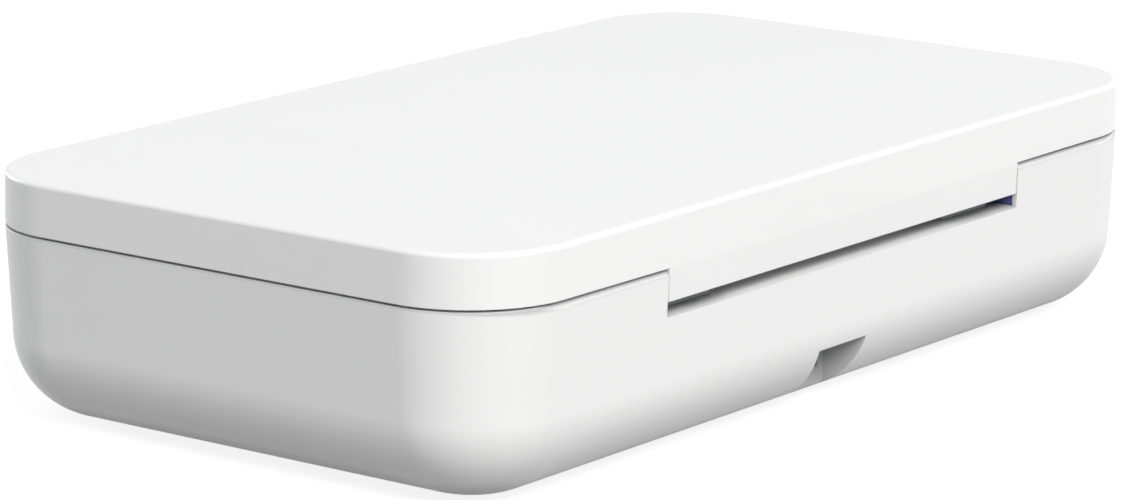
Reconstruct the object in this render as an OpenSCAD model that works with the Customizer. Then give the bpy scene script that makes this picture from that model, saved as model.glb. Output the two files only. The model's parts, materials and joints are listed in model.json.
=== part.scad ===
// Ultraviolet sanitizer box for a phone: a white moulded base and a hinged lid,
// one lamp in each behind a clear window, and a power button on the front.
// X runs along the long side, +Y points to the hinge, +Z is up.
// The origin is on the table, under the middle of the box.

/* [Body] */
// Length of the box
body_l = 228; // [200:1:260]
// Depth of the box, front to hinge side
body_w = 132; // [124:1:150]
// Height of the base shell, up to its rim
base_h = 38.5; // [36:0.5:46]
// Height of the lid
lid_h = 10.5; // [10.5:0.5:14]
// Gap between the rim of the base and the lid
seam_gap = 0.5; // [0.4:0.1:0.8]
// Corner radius of the plan, at the seam
corner_r = 22; // [21:0.5:28]
// Lean of the base walls in degrees
base_draft = 2.7; // [1:0.1:3.5]
// Lean of the lid walls in degrees
lid_draft = 1; // [0.5:0.1:2]
// Radius between the base walls and the bottom
base_fillet = 17.5; // [12:0.5:18]
// Radius of the lid's upper edge
lid_edge_r = 1; // [0.6:0.1:2.1]
// Wall of the base shell
base_t = 2; // [1.6:0.1:2.4]
// Wall of the lid shell
lid_t = 2.2; // [1.8:0.1:2.4]
// Gap round a piece that is set into another
fit_gap = 0.2; // [0.1:0.05:0.3]

/* [Chamber] */
// Distance of the chamber's mouth from either end of the box
side_room = 20; // [19:0.5:26]
// Distance of the chamber's mouth from the front of the box
front_room = 16; // [16:0.5:20]
// Distance of the chamber's mouth from the rear of the box
rear_room = 20; // [20:0.5:24]
// Depth of the chamber
chamber_d = 16.5; // [14:0.5:18]
// Corner radius of the chamber's mouth
chamber_r = 14; // [12:0.5:18]
// Radius between the chamber's walls and floor
chamber_fillet = 5; // [3:0.5:8]
// Lean of the chamber's walls in degrees
chamber_draft = 4; // [2:0.5:6]
// Wall of the chamber
chamber_t = 1.8; // [1.5:0.1:2.2]
// Thickness of the deck round the chamber
deck_t = 2; // [1.6:0.1:2.6]
// Drop of the deck below the rim
deck_drop = 0.6; // [0.4:0.1:1]
// Thickness of the chamber floor
floor_t = 2.6; // [2.4:0.1:3]
// Height of the bars that hold the phone up
rest_h = 2.4; // [1.5:0.1:4]
// Thickness of those bars
rest_w = 2.2; // [1.6:0.1:4]

/* [Hinge] */
// Width of the lid flap that carries the hinge
flap_w = 120; // [100:1:130]
// Distance of the flap's lower edge below the rim
flap_drop = 6.2; // [5.8:0.1:6.4]
// Gap beside the flap
flap_gap = 0.35; // [0.3:0.05:0.6]
// Height of the open slot under the flap
slot_h = 2.7; // [2.1:0.1:3]
// Distance of the hinge axis in front of the rear face
axis_in = 3.2; // [3:0.1:3.3]
// Distance of the hinge axis below the rim
axis_drop = 4.5; // [4.4:0.1:4.7]
// Radius of the hinge pins
pin_r = 1; // [0.8:0.1:1.2]
// Radius of the lid knuckles
knuckle_r = 2.4; // [2.2:0.1:2.5]
// Running gap of a pin in its bearing
pin_gap = 0.05; // [0.02:0.01:0.1]
// Free room beside and round a bearing ear
ear_gap = 0.3; // [0.3:0.05:0.4]
// Width of a bearing ear
ear_w = 7.1; // [5:0.1:9]
// Width of the knuckle outside the ear
outer_knuckle_w = 7.7; // [6:0.1:9]
// Width of the knuckle inside the ear
inner_knuckle_w = 6.5; // [5:0.1:8]
// Width of the bevel on the rear rim
bevel_w = 1.2; // [1.2:0.1:1.6]
// Height of the bevel on the rear rim
bevel_h = 0.9; // [0.9:0.1:1.4]
// Length of the hinge damper
damper_l = 7.6; // [6:0.1:10]

/* [Cable notch] */
// Width of the notch at the rear face
notch_w = 17.5; // [13:0.1:18]
// Width of the notch at its inner end
notch_end_w = 11.2; // [10.6:0.1:13]
// Height of the notch over the bottom of the base
notch_h = 12.3; // [11:0.1:14]
// Distance of the notch's inner end in front of the rear face
notch_d = 10.8; // [9:0.1:12]
// Radius of the notch's upper corners
notch_r = 1.5; // [0.8:0.1:2.4]
// Width of the power socket
socket_w = 9; // [8.9:0.1:9.2]
// Height of the power socket
socket_h = 3.2; // [3.1:0.1:3.4]
// Length of the power socket
socket_l = 7.4; // [7:0.1:8]

/* [Lamps] */
// Radius of a lamp tube
lamp_r = 2; // [1.6:0.1:2.1]
// Wall of a lamp tube
lamp_t = 0.5; // [0.4:0.1:0.8]
// Length of a lamp with its end caps
lamp_l = 134; // [110:1:140]
// Radius of an end cap
cap_r = 2.4; // [2.3:0.1:2.5]
// Length of an end cap
cap_l = 8; // [6:0.5:10]
// Length of a clear window
window_l = 150; // [146:1:156]
// Width of a clear window
window_w = 68; // [50:1:74]
// Corner radius of a clear window
window_r = 8; // [4:0.5:12]
// Thickness of the lower window
window_t = 1.6; // [1.2:0.1:1.8]
// Thickness of the lid window
lid_window_t = 1.2; // [1:0.1:1.4]
// Width of the ledge that a window lies on
ledge_w = 2; // [1.5:0.1:3]
// Thickness of the lid liner
liner_t = 2; // [1.8:0.1:2.2]
// Rise of the liner above the lid's lower edge
liner_rise = 0.2; // [0.2:0.1:0.4]
// Thickness of the reflector sheet
sheet_t = 0.5; // [0.3:0.1:0.8]

/* [Button] */
// Radius of the power button
button_r = 6; // [5:0.1:8]
// Height of the button's middle above the table
button_z = 25; // [24.5:0.5:26]
// Travel of the power button
button_travel = 0.5; // [0.3:0.1:0.6]
// Gap round the button
button_gap = 0.3; // [0.25:0.05:0.5]
// Height of the button's face over the wall
button_proud = 0.4; // [0:0.1:0.6]
// Height of the indicator above the button's middle
indicator_rise = 9; // [8.8:0.1:9.4]
// Width of the indicator
indicator_w = 7; // [4:0.1:9]
// Height of the indicator
indicator_h = 1.6; // [1.2:0.1:2.2]

/* [Feet and boards] */
// Height of the feet under the base
foot_proud = 0.6; // [0.5:0.1:1.2]
// Radius of a foot
foot_r = 6.5; // [6:0.1:8]
// Thickness of a foot
foot_t = 2; // [1.6:0.1:2.2]
// Distance of the feet from the ends of the box
foot_in_x = 30; // [27:0.5:33]
// Distance of the feet from the long sides of the box, on average
foot_in_y = 28; // [26:0.5:28]
// Length of the main board
board_l = 76; // [60:1:100]
// Width of the main board
board_w = 34; // [28:1:40]
// Thickness of a circuit board
board_t = 1.6; // [1:0.1:1.6]
// Radius of a latch magnet
magnet_r = 3; // [2:0.1:3.4]
// Thickness of a latch magnet
magnet_t = 2; // [1.5:0.1:2.5]
// Distance of the latch magnets from the middle
magnet_x = 78; // [60:1:84]
// Width of the light seal
seal_w = 2; // [1.6:0.1:2.4]

/* [Hidden] */
$fn = 64;

white = [0.95, 0.95, 0.95];
inner_white = [0.88, 0.89, 0.9];
clear = [0.8, 0.9, 0.95, 0.4];
steel = [0.7, 0.71, 0.73];
mirror_metal = [0.85, 0.86, 0.88];
board_green = [0.1, 0.38, 0.24];
dark = [0.13, 0.13, 0.14];
damper_blue = [0.14, 0.18, 0.5];
ceramic = [0.93, 0.92, 0.88];
rubber_grey = [0.55, 0.56, 0.58];

// Heights of the main levels
z_bottom = foot_proud;
z_rim = z_bottom + base_h;
z_seam = z_rim + seam_gap;
z_top = z_seam + lid_h;
z_floor = z_bottom + base_t;
z_deck = z_rim - deck_drop;
z_chamber = z_deck - chamber_d;
z_under = z_chamber - floor_t;
z_liner = z_seam + liner_rise;
z_liner_top = z_liner + liner_t;
z_lid_in = z_top - lid_t;

// Centres of the corner arcs, and of the chamber's corner arcs
corner_x = body_l / 2 - corner_r;
corner_y = body_w / 2 - corner_r;
chamber_l = body_l - 2 * side_room;
chamber_w = body_w - front_room - rear_room;
chamber_y = (front_room - rear_room) / 2;
chamber_cx = chamber_l / 2 - chamber_r;
chamber_cy = chamber_w / 2 - chamber_r;
lap = 1;
QUADRANTS = [[1, 1], [-1, 1], [-1, -1], [1, -1]];

// Y of the outer face of a base wall at a height, and of its inner face
function wall_y(z) = body_w / 2 - (z_rim - z) * tan(base_draft);
function inner_y(z) = wall_y(z) - base_t / cos(base_draft);

// Hinge
axis_y = body_w / 2 - axis_in;
axis_z = z_rim - axis_drop;
flap_z = z_rim - flap_drop;
ledge_z = flap_z - slot_h;
half_notch = flap_w / 2 + flap_gap;
ledge_fall = 0.3;
ear_r = knuckle_r - ear_gap;
outer_x = flap_w / 2 - 0.1;
ear_x = outer_x - outer_knuckle_w - ear_gap;
ear_mid = ear_x - ear_w / 2;
inner_x = ear_x - ear_w - ear_gap;
pin_end_x = inner_x - inner_knuckle_w;
pocket_t = 1.6;
pocket_w = 8.6;
pocket_y = axis_y - pocket_w;
pocket_top = z_deck - deck_t - fit_gap;
web_gap = 0.1;
damper_x = half_notch + fit_gap;
damper_y = axis_y - 5.2;
damper_gap = 0.3;
damper_recess = 1;
damper_back = inner_y(ledge_z) + damper_recess - fit_gap;
pocket_left = -(damper_x + damper_l + damper_gap);
pocket_right = half_notch + 0.8;
foot_plate_t = 1.2;
bracket_y = axis_y - 2.05;
bracket_back = pocket_y + 0.3;
ear_foot = 4;
boss_l = 3;
boss_r = 2.2;
bracket_screw_y = (bracket_y + bracket_back) / 2;
bracket_half = 8;
bracket_screw_x = 5.7;
bracket_screw_l = foot_plate_t + pocket_t + boss_l - 1;
small_screw_r = 0.85;
small_head_r = 1.7;
small_head_t = 1.1;
tap_gap = 0.02;
shank_gap = 0.2;
finger_w = 30;
finger_h = 2.4;
finger_d = 1.2;

// Cable notch and socket
notch_y = body_w / 2 - notch_d;
notch_wall = 1.8;
notch_z = z_bottom + notch_h;
board_rise = 2;
board_z = z_floor + board_rise;
board_top = board_z + board_t;
socket_z = board_top;
socket_front = notch_y - notch_wall + 1.4;
socket_t = 0.35;
tongue_w = socket_w - 2.4;
tongue_t = 0.7;
board_y = notch_y - notch_wall - 0.5;
board_screw_in = 4;
board_screw_l = board_t + board_rise - 0.4;

// Parts on the main board: place from the board's middle and front edge, in shares of
// its length and width, then length, width and height of a block, or radius and height
BLOCKS = [[-0.03, 0.29, 7, 7, 1], [0.1, 0.27, 5, 4, 1.4], [0.39, 0.68, 6, 6, 3],
          [-0.37, 0.41, 4, 4, 1.2], [-0.155, 0.8, 4.4, 2.4, 1.2]];
CANS = [[0.26, 0.59, 3.1, 4.4], [0.26, 0.35, 2.5, 4.4], [-0.34, 0.65, 3.1, 4]];
driver_at = [-0.23, 0.27];
driver_l = 13;
driver_w = 12.4;
driver_h = 4.6;
core_w = 2.4;

// Lamps
lower_lamp_z = z_under - 3.6;
upper_lamp_z = z_liner_top + cap_r + 0.3;
lamp_half = lamp_l / 2;
clip_l = 5;
clip_w = 10;
trough_w = 16;
trough_z = lower_lamp_z - cap_r - 1;
lid_trough_z = z_lid_in - sheet_t - 0.3;
wing_w = window_w + 4;
wing_flat = 3;
trough_over = 4;
tube_in = 2;
rest_over = 3;

// Button and its board
face_y = -wall_y(button_z);
flange_t = 1;
flange_r = button_r + 1.2;
flange_y = 0.35 - inner_y(button_z - flange_r);
stem_r = 1.8;
plunger_r = 1.7;
plunger_l = 2.6;
switch_a = 6;
switch_t = 3.4;
stem_l = 1.2;
plunger_y = flange_y + flange_t + stem_l;
switch_y = plunger_y + button_travel + 0.6;
small_board_y = switch_y + switch_t;
small_board_l = 30;
small_board_t = 1.2;
board_below = 8;
small_board_low = button_z - board_below;
small_board_high = pocket_top;
rail_w = 3.4;
rail_t = 1.6;
sensor_size = [3.2, 1.2, 3];
led_size = [3.2, 1.6, 1.6];
indicator_z = button_z + indicator_rise;

// Feet, screws and magnets
foot_x = body_l / 2 - foot_in_x;
foot_y = body_w / 2 - foot_in_y;
foot_edge = 0.4;
foot_pad_r = foot_r + 1.4;
foot_gap = 0.2;
foot_depth = foot_t - foot_proud;
post_r = 3.5;
post_z = z_bottom + 4.8;
post_hole_d = 9;
base_screw_l = 8.5;
screw_head_r = 2.5;
screw_head_t = 1.5;
screw_r = 1.25;
head_room = 0.2;
magnet_in = 8.4;
magnet_y = magnet_in - body_w / 2;
magnet_gap = 0.1;
cup_t = 1.1;
cup_short = 0.4;
seal_in = 3;
seal_depth = 0.8;
seal_top = z_liner - 0.3;
lid_post_r = 3;
lid_screw_in = [10.5, 24];
lid_screw_x = body_l / 2 - lid_screw_in[0];
lid_screw_y = body_w / 2 - lid_screw_in[1];
lid_hole_d = 4;
lid_screw_l = lid_hole_d + liner_t - 1.4;
sensor_x = 10;
sensor_magnet_r = 2;
sensor_magnet_t = 1.5;

// Distance of the tray's edge, and of the liner's, from the outline of the box
deck_edge = (z_rim - z_deck + deck_t) * tan(base_draft) + base_t / cos(base_draft) + fit_gap;
deck_hole = half_notch + 0.6;
liner_edge = lid_t + 0.1 + fit_gap;

// Half section of a rounded wall, from the corner's centre line outwards:
// straight with a lean, and an arc between the wall and the lower face.
module wall_section(low, high, ref, r, draft, fillet) {
    function wall_at(z) = r - (ref - z) * tan(draft);
    zc = low + fillet;
    xc = wall_at(zc) - fillet / cos(draft);
    reach = fillet + 2;
    tip = [xc + reach * cos(draft), zc - reach * sin(draft)];
    difference() {
        polygon([[0, low], [wall_at(low), low], [wall_at(high), high], [0, high]]);
        difference() {
            polygon([[xc, zc], [xc, low - lap], [tip[0], low - lap], tip]);
            translate([xc, zc]) circle(fillet);
        }
    }
}

// Carries the half section round a rectangle with corner centres at cx, cy
module around(cx, cy, low, high) {
    for (turn = [0 : 3]) {
        side = QUADRANTS[turn];
        translate([side[0] * cx, side[1] * cy, 0])
            rotate([0, 0, 90 * turn])
                rotate_extrude(angle = 90) children();
    }
    for (turn = [0, 180]) {
        rotate([0, 0, turn]) translate([cx, cy, 0])
            rotate([90, 0, 0]) linear_extrude(2 * cy) children();
        rotate([0, 0, turn]) translate([-cx, cy, 0])
            rotate([90, 0, 90]) linear_extrude(2 * cx) children();
    }
    translate([-cx, -cy, low]) cube([2 * cx, 2 * cy, high - low]);
}

// Flat plate with round corners, its middle at the origin
module plate(l, w, t, r) {
    linear_extrude(t) rounded(l, w, r);
}

module rounded(l, w, r) {
    for (side = QUADRANTS)
        translate([side[0] * (l / 2 - r), side[1] * (w / 2 - r)]) circle(r);
    square([l - 2 * r, w], center = true);
    square([l, w - 2 * r], center = true);
}

// Outline in Y and Z, drawn out along X from x1 to x2
module along_x(x1, x2) {
    translate([x1, 0, 0]) rotate([90, 0, 90]) linear_extrude(x2 - x1) children();
}

// Round bar along X at the hinge axis
module axis_bar(x1, x2, r) {
    translate([x1, axis_y, axis_z]) rotate([0, 90, 0]) cylinder(h = x2 - x1, r = r);
}

// Outer form of the base, grown inwards by a wall
module base_form(inset, high) {
    around(corner_x, corner_y, z_bottom + inset, high)
        wall_section(z_bottom + inset, high, z_rim, corner_r - inset / cos(base_draft),
                     base_draft, base_fillet - inset);
}

// Outer form of the lid, grown inwards by a wall. The section is drawn upside down.
module lid_form(inset, low) {
    around(corner_x, corner_y, low, z_top - inset)
        mirror([0, 1])
            wall_section(inset - z_top, -low, -z_seam, corner_r - inset / cos(lid_draft),
                         lid_draft, max(lid_edge_r - inset, 0.2));
}

// Form of the chamber, grown outwards by a wall
module chamber_form(outset, low, high) {
    translate([0, chamber_y, 0])
        around(chamber_cx, chamber_cy, low, high)
            wall_section(low, high, z_deck, chamber_r + outset / cos(chamber_draft),
                         chamber_draft, chamber_fillet + outset);
}

module cable_void(grow, end_y) {
    intersection() {
        translate([0, 0, z_bottom - lap])
            linear_extrude(notch_h + lap + grow)
                polygon([[-notch_end_w / 2 - grow, end_y], [notch_end_w / 2 + grow, end_y],
                         [notch_w / 2 + grow, body_w / 2 + lap],
                         [-notch_w / 2 - grow, body_w / 2 + lap]]);
        translate([0, body_w / 2 + 2 * lap, notch_z + grow])
            rotate([90, 0, 0])
                linear_extrude(body_w / 2) notch_outline(notch_w / 2 + grow, notch_r + grow);
    }
}

module notch_outline(half, r) {
    depth = notch_h + 3;
    for (side = [-1, 1])
        translate([side * (half - r), -r]) circle(r);
    translate([-half + r, -depth]) square([2 * (half - r), depth]);
    translate([-half, -depth]) square([2 * half, depth - r]);
}

module at_posts() {
    for (side = QUADRANTS)
        translate([side[0] * foot_x, chamber_y + side[1] * foot_y, 0]) children();
}

module at_lid_screws() {
    for (side = concat(QUADRANTS, [[0, 1], [0, -1]]))
        translate([side[0] * lid_screw_x, side[1] * lid_screw_y, 0]) children();
}

module base_shell() color(white) {
    difference() {
        union() {
            difference() {
                base_form(0, z_rim);
                base_form(base_t, z_rim + lap);
            }
            intersection() {
                base_form(0, z_rim);
                union() {
                    hinge_pocket();
                    cable_void(notch_wall, notch_y - notch_wall);
                    at_posts()
                        translate([0, 0, z_bottom]) cylinder(h = post_z - z_bottom, r = foot_pad_r);
                    board_posts();
                    button_rails();
                }
            }
        }
        notch_in_wall();
        cable_void(0, notch_y);
        socket_window();
        rear_bevel();
        finger_scoop();
        at_posts() foot_holes();
        button_holes();
    }
}

// Walls and floor of the pocket behind the lid flap
module hinge_pocket() {
    difference() {
        union() {
            translate([pocket_left - pocket_t, pocket_y - pocket_t, ledge_z - pocket_t])
                cube([pocket_right - pocket_left + 2 * pocket_t, body_w / 2 - pocket_y + pocket_t,
                      pocket_top - ledge_z + pocket_t]);
            at_bracket_screws()
                translate([0, 0, ledge_z - pocket_t - boss_l]) cylinder(h = boss_l + lap, r = boss_r);
        }
        translate([pocket_left, pocket_y, ledge_z])
            cube([pocket_right - pocket_left, inner_y(ledge_z) - pocket_y, base_h]);
        at_bracket_screws()
            translate([0, 0, ledge_z - pocket_t - boss_l - lap])
                cylinder(h = pocket_t + boss_l + 2 * lap, r = small_screw_r + tap_gap);
    }
}

module at_bracket_screws() {
    for (side = [-1, 1])
        for (step = [-1, 1])
            translate([side * ear_mid + step * bracket_screw_x, bracket_screw_y, 0]) children();
}

// The flap's notch, with a floor that falls a little towards the outside
module notch_in_wall() {
    cut_y = pocket_y + 2;
    out_y = body_w / 2 + lap;
    fall = ledge_fall * (axis_in + lap) / axis_in;
    along_x(-half_notch, half_notch)
        polygon([[cut_y, ledge_z], [axis_y, ledge_z], [out_y, ledge_z - fall], [out_y, z_rim + lap],
                 [cut_y, z_rim + lap]]);
    translate([pocket_left, cut_y, ledge_z])
        cube([-pocket_left - half_notch + lap, inner_y(ledge_z) + damper_recess - cut_y,
              pocket_top - ledge_z]);
}

module rear_bevel() {
    in_y = body_w / 2 - bevel_w;
    out_y = body_w / 2 + lap;
    along_x(-body_l / 2, body_l / 2)
        polygon([[in_y, z_rim], [out_y, z_rim - bevel_h * (bevel_w + lap) / bevel_w],
                 [out_y, z_rim + lap], [in_y, z_rim + lap]]);
}

module socket_window() {
    translate([-socket_w / 2 - fit_gap, notch_y - notch_wall - lap, socket_z - fit_gap])
        cube([socket_w + 2 * fit_gap, notch_wall + 2 * lap, socket_h + 2 * fit_gap]);
}

module foot_holes() {
    translate([0, 0, -lap]) cylinder(h = lap + z_bottom + foot_depth, r = foot_r + foot_gap);
    translate([0, 0, z_bottom])
        cylinder(h = foot_depth + screw_head_t + head_room, r = screw_head_r + fit_gap);
    translate([0, 0, z_bottom]) cylinder(h = base_h, r = screw_r + fit_gap);
}

module at_board_screws() {
    for (side = [-1, 1])
        for (y = [board_y - board_screw_in, board_y - board_w + board_screw_in])
            translate([side * (board_l / 2 - board_screw_in), y, 0]) children();
}

module board_posts() {
    at_board_screws()
        translate([0, 0, z_floor - lap]) difference() {
            cylinder(h = lap + board_rise, r = boss_r + 0.4);
            translate([0, 0, lap / 2]) cylinder(h = lap + board_rise, r = small_screw_r + tap_gap);
        }
}

// Two slotted rails that hold the button's board upright
module button_rails() {
    difference() {
        for (side = [-1, 1])
            translate([side * small_board_l / 2 - rail_w / 2, small_board_y - rail_t, z_floor - lap])
                cube([rail_w, small_board_t + 2 * rail_t, small_board_high - 3 - z_floor + lap]);
        translate([-small_board_l / 2 - fit_gap, small_board_y - fit_gap / 2, small_board_low])
            cube([small_board_l + 2 * fit_gap, small_board_t + fit_gap, base_h]);
    }
}

// Runs from y to the front, with the outline in X and Z
module to_front(y1, y2) {
    translate([0, y2, 0]) rotate([90, 0, 0]) linear_extrude(y2 - y1) children();
}

module indicator_outline(grow) {
    translate([0, indicator_z])
        rounded(indicator_w + 2 * grow, indicator_h + 2 * grow, indicator_h / 2 + grow - 0.01);
}

module button_holes() {
    front = -body_w / 2 - lap;
    back = -body_w / 2 + base_t + 3 * lap;
    to_front(front, back) translate([0, button_z]) circle(button_r + button_gap);
    to_front(front, back) indicator_outline(fit_gap / 2);
}

module finger_scoop() {
    along_x(-finger_w / 2, finger_w / 2)
        polygon([[-body_w / 2 - lap, z_rim - finger_h * (finger_d + lap) / finger_d],
                 [-body_w / 2 + finger_d, z_rim], [-body_w / 2 + finger_d, z_rim + lap],
                 [-body_w / 2 - lap, z_rim + lap]]);
}

module base_tray() color(inner_white) {
    difference() {
        union() {
            translate([0, 0, z_deck - deck_t])
                plate(body_l - 2 * deck_edge, body_w - 2 * deck_edge, deck_t, corner_r - deck_edge);
            chamber_form(chamber_t, z_under, z_deck);
            at_posts() translate([0, 0, post_z]) cylinder(h = z_under + lap - post_z, r = post_r);
            at_magnets()
                cup(magnet_r, z_deck - deck_t - magnet_t - cup_short, z_deck - deck_t + lap / 2);
        }
        chamber_form(0, z_chamber, z_deck + lap);
        translate([0, chamber_y, z_under - lap])
            plate(window_l - 2 * ledge_w, window_w - 2 * ledge_w, 2 * lap + floor_t,
                  window_r - ledge_w);
        translate([0, chamber_y, z_chamber - window_t])
            plate(window_l + fit_gap, window_w + fit_gap, window_t + lap, window_r);
        seal_ring(0, z_deck - seal_depth, z_deck + lap);
        translate([-deck_hole, pocket_y, z_deck - deck_t - lap])
            cube([2 * deck_hole, body_w, deck_t + 2 * lap]);
        at_posts()
            translate([0, 0, post_z - lap]) cylinder(h = post_hole_d + lap, r = screw_r + tap_gap);
        at_magnets() translate([0, 0, z_deck - deck_t - magnet_t - 2 * lap])
            cylinder(h = magnet_t + 2 * lap, r = magnet_r + magnet_gap);
    }
}

module at_magnets() {
    for (side = [-1, 1])
        translate([side * magnet_x, magnet_y, 0]) children();
}

module cup(r, low, high) {
    translate([0, 0, low]) cylinder(h = high - low, r = r + magnet_gap + cup_t);
}

module seal_ring(gap, low, high) {
    translate([0, chamber_y, low]) linear_extrude(high - low) difference() {
        seal_outline(seal_in + seal_w - gap);
        seal_outline(seal_in + gap);
    }
}

module seal_outline(out) {
    rounded(chamber_l + 2 * out, chamber_w + 2 * out, chamber_r + out);
}

module light_seal() color(rubber_grey) seal_ring(0.1, z_deck - seal_depth, seal_top);

module base_magnets() color(steel)
    at_magnets() translate([0, 0, z_deck - deck_t - magnet_t]) cylinder(h = magnet_t, r = magnet_r);

module lower_window() color(clear)
    translate([0, chamber_y, z_chamber - window_t]) plate(window_l, window_w, window_t, window_r);

module upper_window() color(clear)
    translate([0, chamber_y, z_liner_top - lid_window_t])
        plate(window_l, window_w, lid_window_t, window_r);

// Bent sheet behind a lamp: a trough between two sloping wings, with closed ends
module reflector(z_trough, z_wing) {
    slope = wing_w / 2 - wing_flat;
    half = lamp_half + trough_over;
    line = [[-wing_w / 2, z_wing], [-slope, z_wing], [-trough_w / 2, z_trough],
            [trough_w / 2, z_trough], [slope, z_wing], [wing_w / 2, z_wing]];
    back = [for (i = [5 : -1 : 0]) line[i] + [0, sheet_t]];
    translate([0, chamber_y, 0]) {
        along_x(-half, half) polygon(concat(line, back));
        for (x = [-half, half - sheet_t])
            along_x(x, x + sheet_t) polygon([for (i = [1 : 4]) line[i] + [0, sheet_t / 2]]);
    }
}

module lower_reflector() color(mirror_metal) reflector(trough_z - sheet_t, z_under - sheet_t);
module upper_reflector() color(mirror_metal) reflector(lid_trough_z, z_liner_top);

module lamp_bar(z, x1, x2, r) {
    translate([x1, chamber_y, z]) rotate([0, 90, 0]) cylinder(h = x2 - x1, r = r);
}

module lamp_tube(z) {
    half = lamp_half - tube_in;
    difference() {
        lamp_bar(z, -half, half, lamp_r);
        lamp_bar(z, -half - lap, half + lap, lamp_r - lamp_t);
    }
}

module lamp_caps(z) {
    for (turn = [0, 180])
        translate([0, chamber_y, 0]) rotate([0, 0, turn]) translate([0, -chamber_y, 0])
            difference() {
                lamp_bar(z, lamp_half - cap_l, lamp_half, cap_r);
                lamp_bar(z, lamp_half - cap_l - lap, lamp_half - tube_in, lamp_r + tap_gap);
            }
}

// Snap clips that hold the end caps, open towards the window
module lamp_clips(z, seat, open) {
    low = min(seat, z + open);
    for (side = [-1, 1])
        difference() {
            translate([side * (lamp_half - cap_l / 2) - clip_l / 2, chamber_y - clip_w / 2, low])
                cube([clip_l, clip_w, abs(seat - z - open)]);
            lamp_bar(z, -lamp_l, lamp_l, cap_r + tap_gap);
        }
}

module lower_lamp() color(clear) lamp_tube(lower_lamp_z);
module upper_lamp() color(clear) lamp_tube(upper_lamp_z);
module lower_lamp_caps() color(ceramic) lamp_caps(lower_lamp_z);
module upper_lamp_caps() color(ceramic) lamp_caps(upper_lamp_z);
module lower_lamp_clips() color(inner_white) lamp_clips(lower_lamp_z, trough_z, 1);
module upper_lamp_clips() color(inner_white) lamp_clips(upper_lamp_z, lid_trough_z, -1);

module phone_rests() color(inner_white)
    for (side = [-1, 1])
        translate([0, chamber_y, z_chamber])
            along_x(side * window_l / 3 - rest_w / 2, side * window_l / 3 + rest_w / 2)
                rounded_top(window_w + 2 * rest_over, rest_h);

module rounded_top(w, h) {
    for (side = [-1, 1])
        translate([side * (w / 2 - h), 0]) intersection() {
            circle(h);
            translate([-h, 0]) square([2 * h, h]);
        }
    translate([h - w / 2, 0]) square([w - 2 * h, h]);
}

module main_board() color(board_green)
    difference() {
        translate([-board_l / 2, board_y - board_w, board_z]) cube([board_l, board_w, board_t]);
        at_board_screws()
            translate([0, 0, board_z - lap])
                cylinder(h = board_t + 2 * lap, r = small_screw_r + shank_gap);
    }

module board_screws() color(steel) at_board_screws() small_screw(board_top, board_screw_l);

module bracket_screws() color(steel)
    at_bracket_screws() small_screw(ledge_z + foot_plate_t, bracket_screw_l);

module small_screw(z, l) {
    translate([0, 0, z]) cylinder(h = small_head_t, r = small_head_r);
    translate([0, 0, z - l]) cylinder(h = l + lap / 2, r = small_screw_r);
}

// A point on the main board, in shares of its length and width
module on_board(share) {
    translate([share[0] * board_l, board_y - board_w + share[1] * board_w, board_top]) children();
}

// Chips, capacitors and a coil, each standing on the main board
module board_parts() color(dark) {
    for (part = BLOCKS)
        on_board(part) translate([-part[2] / 2, -part[3] / 2, 0]) cube([part[2], part[3], part[4]]);
    for (part = CANS)
        on_board(part) cylinder(h = part[3], r = part[2]);
}

// Step-up transformer: a ferrite frame round a winding
module lamp_driver() color(ceramic)
    on_board(driver_at) translate([-driver_l / 2, -driver_w / 2, 0]) {
        cube([driver_l, core_w, driver_h]);
        translate([0, driver_w - core_w, 0]) cube([driver_l, core_w, driver_h]);
        translate([core_w, core_w, 0.6])
            cube([driver_l - 2 * core_w, driver_w - 2 * core_w, driver_h - 1]);
    }

module usb_socket() color(steel)
    translate([0, 0, socket_z + socket_h / 2]) {
        back = socket_front - socket_l;
        to_front(back, socket_front) difference() {
            socket_outline(0);
            socket_outline(socket_t);
        }
        to_front(back, back + 1.4) socket_outline(socket_t / 2);
        to_front(back + 1, socket_front - 1) square([tongue_w, tongue_t], center = true);
    }

module socket_outline(inset) {
    rounded(socket_w - 2 * inset, socket_h - 2 * inset, socket_h / 2 - inset - 0.05);
}

module button_board() color(board_green)
    translate([-small_board_l / 2, small_board_y, small_board_low])
        cube([small_board_l, small_board_t, small_board_high - small_board_low]);

module tact_switch() color(dark)
    difference() {
        translate([-switch_a / 2, switch_y, button_z - switch_a / 2])
            cube([switch_a, switch_t, switch_a]);
        to_front(switch_y - lap, switch_y + plunger_l + 0.2)
            translate([0, button_z]) circle(plunger_r + 0.1);
    }

module switch_plunger() color(inner_white)
    to_front(plunger_y, plunger_y + plunger_l) translate([0, button_z]) circle(plunger_r);

module lid_sensor() color(dark)
    translate([sensor_x - sensor_size[0] / 2, small_board_y - sensor_size[1],
               small_board_high - sensor_size[2] - 0.6])
        cube(sensor_size);

module indicator_led() color(ceramic)
    translate([-led_size[0] / 2, small_board_y - led_size[1], indicator_z - led_size[2] / 2])
        cube(led_size);

module light_pipe() color(clear) {
    to_front(-wall_y(indicator_z), small_board_y - led_size[1] - fit_gap) indicator_outline(0);
    to_front(0.3 - inner_y(indicator_z - indicator_h), 1.3 - inner_y(indicator_z - indicator_h))
        indicator_outline(0.7);
}

// Cap with a round edge, its flange behind the wall, and the stem to the switch
module power_button() color(white)
    translate([0, plunger_y, button_z]) rotate([90, 0, 0]) {
        top = plunger_y - face_y + button_proud;
        edge = 0.6;
        rotate_extrude() {
            square([stem_r, stem_l + flange_t / 2]);
            translate([0, stem_l]) square([flange_r, flange_t]);
            translate([0, stem_l]) square([button_r, top - edge - stem_l]);
            square([button_r - edge, top]);
            translate([button_r - edge, top - edge]) circle(edge);
        }
    }

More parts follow.
